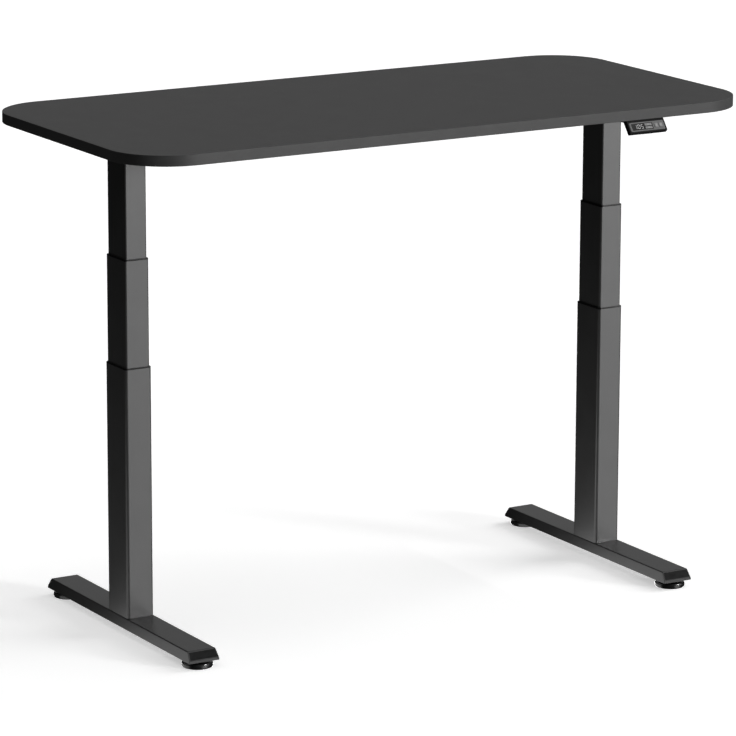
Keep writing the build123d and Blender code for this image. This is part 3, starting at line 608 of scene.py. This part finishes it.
def foot_caps(side):
    """End caps: a plug in the channel, and a plate with a lip and a sunk panel, darker as painted
    shade.
    """
    node = f"foot_caps_{side}"
    middle, size, bottom, top = middle_and_size(node)
    kink = bottom + foot_lip
    border, bevel, sink = 1.8 * mm, 0.3 * mm, 0.6 * mm
    plug_gap, plug_bend, panel_bend = 0.2 * mm, 1 * mm, 1.5 * mm
    mesh = bmesh.new()

    def panel_outline(inset):
        """Edge of the sunk panel, as many points as the cap's section without its lowest two."""
        low, high = kink + inset, top - inset
        wide, narrow = foot_half_width(side, low) - inset, foot_half_width(side, high) - inset
        corners = [(-wide, low), (-narrow, high), (narrow, high), (wide, low)]
        return eased(corners, [0, panel_bend, panel_bend, 0])

    def ring(end, points, set_back):
        return [(middle.x + x, foot_end(side, end, z, set_back), z) for x, z in points]

    plug_inset = foot_wall + plug_gap
    plug = foot_section(side, bottom, top, plug_inset, [0, 0, plug_bend, plug_bend, 0, 0])
    full = foot_section(side, bottom, top, 0, [0, 0, foot_bend, foot_bend, 0, 0])
    for end in (-1, 1):
        plug_back = end * (size.y / 2 - cap_plug_length)
        loops = skin(
            mesh,
            [
                [(middle.x + x, plug_back, z) for x, z in plug],
                ring(end, plug, cap_thickness),
                ring(end, full, cap_thickness),
                ring(end, full, 0),
            ],
            capped=False,
        )
        mesh.faces.new(loops[0])
        face = loops[-1]
        mesh.faces.new((face[0], face[1], face[-2], face[-1]))
        slope = face[1:-1]
        for inset, set_back in ((border, 0), (border + bevel, sink)):
            panel = [mesh.verts.new(point) for point in ring(end, panel_outline(inset), set_back)]
            for i in range(len(slope)):
                j = (i + 1) % len(slope)
                mesh.faces.new((slope[i], slope[j], panel[j], panel[i]))
            slope = panel
        # The sunk panel takes the second material: black plastic darkened with painted shade.
        mesh.faces.new(slope).material_index = 1
    add_piece(mesh, node, node, black_plastic_painted_shade_look, edge=0.2 * mm)


def glide(side, end):
    """Levelling glide: a moulded disc with a stepped rim on a threaded steel stud."""
    node = f"glide_{end}_{side}"
    middle, size, bottom, top = middle_and_size(node)
    radius = size.x / 2
    neck_top, bore_radius = bottom + 12.9 * mm, 3.2 * mm
    bore_bottom = neck_top - 2 * mm
    pole_radius = 0.4 * mm
    stud_radius, thread_pitch, thread_depth = 4 * mm, 1.25 * mm, 0.55 * mm
    outline = [
        (pole_radius, bottom + 0.8 * mm),
        (radius - 7 * mm, bottom + 0.8 * mm),
        (radius - 7.8 * mm, bottom),
        (radius - 1.2 * mm, bottom),
        (radius, bottom + 2 * mm),
        (radius, bottom + 7.6 * mm),
        (radius - 1.1 * mm, bottom + 8.4 * mm),
        (radius - 1.6 * mm, bottom + 10.3 * mm),
        (radius - 8 * mm, bottom + 11.3 * mm),
        (10.4 * mm, bottom + 11.7 * mm),
        (9.6 * mm, neck_top),
        (bore_radius, neck_top),
        (bore_radius, bore_bottom),
        (pole_radius, bore_bottom),
    ]
    roundings = [0, 0.4, 0.4, 1.2, 1.2, 0.9, 0.5, 1.2, 2, 0.8, 0.8, 0.2, 0, 0]
    profile = eased(outline, [r * mm for r in roundings], steps=3, closed=False)
    mesh = bmesh.new()
    skin(mesh, turned_rings(middle, profile))
    stud = threaded_rod(mesh, middle, stud_radius, bore_bottom, top, thread_pitch, thread_depth)
    for face in stud:
        face.material_index = 1
    add_piece(mesh, node, node, looks["bright_steel"])


def threaded_rod(mesh, centre, radius, bottom, top, pitch, depth, around=24, per_turn=8):
    """Screw thread about an upright axis, fading out at both ends; returns its faces."""
    flank_slope, root_width = 2.2, 0.6
    rows = math.ceil((top - bottom) / pitch * per_turn)
    step = (top - bottom) / rows
    rings = []
    for row in range(rows + 1):
        z = bottom + row * step
        ring = []
        for i in range(around):
            turn = i / around
            phase = ((z - bottom) / pitch - turn) % 1
            groove = min(1, max(0, flank_slope * abs(2 * phase - 1) - root_width))
            fade = min(1, (top - z) / pitch, (z - bottom) / pitch)
            r = radius - depth * (1 - groove * fade) if row not in (0, rows) else radius - depth
            angle = 2 * math.pi * turn
            ring.append((centre.x + r * math.cos(angle), centre.y + r * math.sin(angle), z))
        rings.append(ring)
    known = set(mesh.faces)
    skin(mesh, rings)
    return [face for face in mesh.faces if face not in known]


# ---- Handset -------------------------------------------------------------------------------


def face_centre():
    """Middle of the front of the handset's face plate."""
    low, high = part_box("handset_face")
    return (low + high) / 2 + face_normal * face_thickness / 2


def on_face(origin, right, up, out):
    """Point on the handset's tilted face, from a point on it."""
    return origin + Vector((right, 0, 0)) + face_up * up + face_normal * out


def key_top(node):
    """Middle of a key's top."""
    low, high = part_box(node)
    middle = (low + high) / 2
    sunk = (face_centre() - middle).dot(face_normal)
    return middle + face_normal * (sunk + key_proud)


def add_mark(name, node, origin, strokes, width):
    """Raised strokes with round ends on the handset, each a list of (right, up) points."""
    raised = 0.06 * mm
    tip_steps = 6
    mesh = bmesh.new()
    for stroke in strokes:
        for start, end in zip(stroke, stroke[1:]):
            start, end = Vector(start), Vector(end)
            along = math.atan2(end.y - start.y, end.x - start.x)
            rim = []
            for tip, turn in ((end, -90), (start, 90)):
                for step in range(tip_steps + 1):
                    a = along + math.radians(turn + 180 * step / tip_steps)
                    rim.append(tip + Vector((math.cos(a), math.sin(a))) * width / 2)
            rings = [
                [on_face(origin, point.x, point.y, out) for point in rim]
                for out in (-raised / 2, raised)
            ]
            skin(mesh, rings)
    mark = add_object(mesh, name, mark_look)
    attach(mark, body_of_node[node])


def segment_digit(left, lit, width, height):
    """Strokes of a seven segment digit; lit names them a to g in the usual order."""
    gap = 0.12 * width
    right, low, high = left + width, -height / 2, height / 2
    places = {
        "a": ((left + gap, high), (right - gap, high)),
        "b": ((right, high - gap), (right, gap)),
        "c": ((right, -gap), (right, low + gap)),
        "d": ((left + gap, low), (right - gap, low)),
        "e": ((left, -gap), (left, low + gap)),
        "f": ((left, high - gap), (left, gap)),
        "g": ((left + gap, 0), (right - gap, 0)),
    }
    return [places[name] for name in lit]


def handset_marks():
    """Height display, arrows on the two lift keys and numerals on the memory keys."""
    width, height, step = 4.6 * mm, 8.4 * mm, 8 * mm
    display = face_centre()
    display.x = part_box("handset_window")[0].x + display_inset
    strokes = []
    for place, lit in enumerate(("bc", "abcdef", "acdfg")):
        strokes += segment_digit(place * step, lit, width, height)
    add_mark("display_digits", "handset_window", display, strokes, 0.9 * mm)

    reach, rise = 2.2 * mm, 0.8 * mm
    for node, way in (("up_key", 1), ("down_key", -1)):
        arrow = [(-reach, -rise * way), (0, rise * way), (reach, -rise * way)]
        add_mark(f"{node}_arrow", node, key_top(node), [arrow], 0.5 * mm)

    width, height = 2.4 * mm, 4.2 * mm
    for node, lit in (("memory_key_one", "bc"), ("memory_key_two", "abged")):
        # A one has only its right strokes, so those go on the key's middle.
        left = -width if lit == "bc" else -width / 2
        strokes = segment_digit(left, lit, width, height)
        add_mark(f"{node}_numeral", node, key_top(node), strokes, 0.45 * mm)


# ---- The desk ------------------------------------------------------------------------------

make_camera()
make_world()
# The glow suns stand for a bright floor and back wall that the desk's surfaces mirror.
# rear_fill is there to show the back in views from behind.
add_sun("key", 35, 7, 2.9, 12)
add_sun("floor_glow", 29, -12, 0.77, 40)
add_sun("back_glow", 149, 13, 0.09, 30)
add_sun("rear_fill", 150, -20, 1.2, 20)
add_sun("side", 82, 36, 1.3, 40)
add_panel("left_bounce", (-1.0, 0, 0.01), (0.6, 0.9), (0.35, 0, 1), 2.1)
add_panel("right_bounce", (0.22, 0, 0.01), (0.5, 0.9), (0.35, 0, 1), 2.4)
make_studio()
looks = make_looks()
# Painted shade: the feet get a darker copy of the columns' powder coat, so that their tops read as
# in shade.
foot_painted_shade_look = powder_look("foot_powder_coat_painted_shade", 0.013, 0.016)
mark_look = moulded_look("marks", 0.4, 0.46, (0.4, 0.5), grain=0.2 * mm, depth=0.004 * mm)
# The handset's shell: black plastic, made darker and duller than the moulded black as painted
# shade on its shaded sides and lip.
housing_painted_shade_look = moulded_look(
    "handset_shell_painted_shade", 0.004, 0.006, (0.5, 0.6), grain=0.4 * mm, depth=0.015 * mm, specular=0.08
)
# Black plastic made darker and duller than the moulded black: partly the plastic's own black,
# partly painted shade for the dark lines at the column steps and the dark sloped ends of the feet.
black_plastic_painted_shade_look = moulded_look(
    "deep_black", 0.003, 0.005, (0.3, 0.4), grain=0.6 * mm, depth=0.01 * mm, specular=0.15
)

# The CAD nodes get their looks too, since most of them show as they are.
for node, shown in frame["nodes"].items():
    shown.data.materials[0] = looks[slot_of_node[node]]
# The shell takes the black plastic darkened with painted shade.
frame["nodes"]["handset_housing"].data.materials[0] = housing_painted_shade_look

desktop()
for side in sides:
    tube("outer_tube", "outer", side, column_plate_thickness)
    collar("outer_collar", "outer", "mid", side)
    tube("mid_tube", "mid", side)
    collar("mid_collar", "mid", "inner", side)
    tube("inner_tube", "inner", side)
    foot_beam(side)
    foot_caps(side)
    glide(side, "front")
    glide(side, "rear")
handset_marks()

bpy.context.scene.view_settings.view_transform = "Standard"
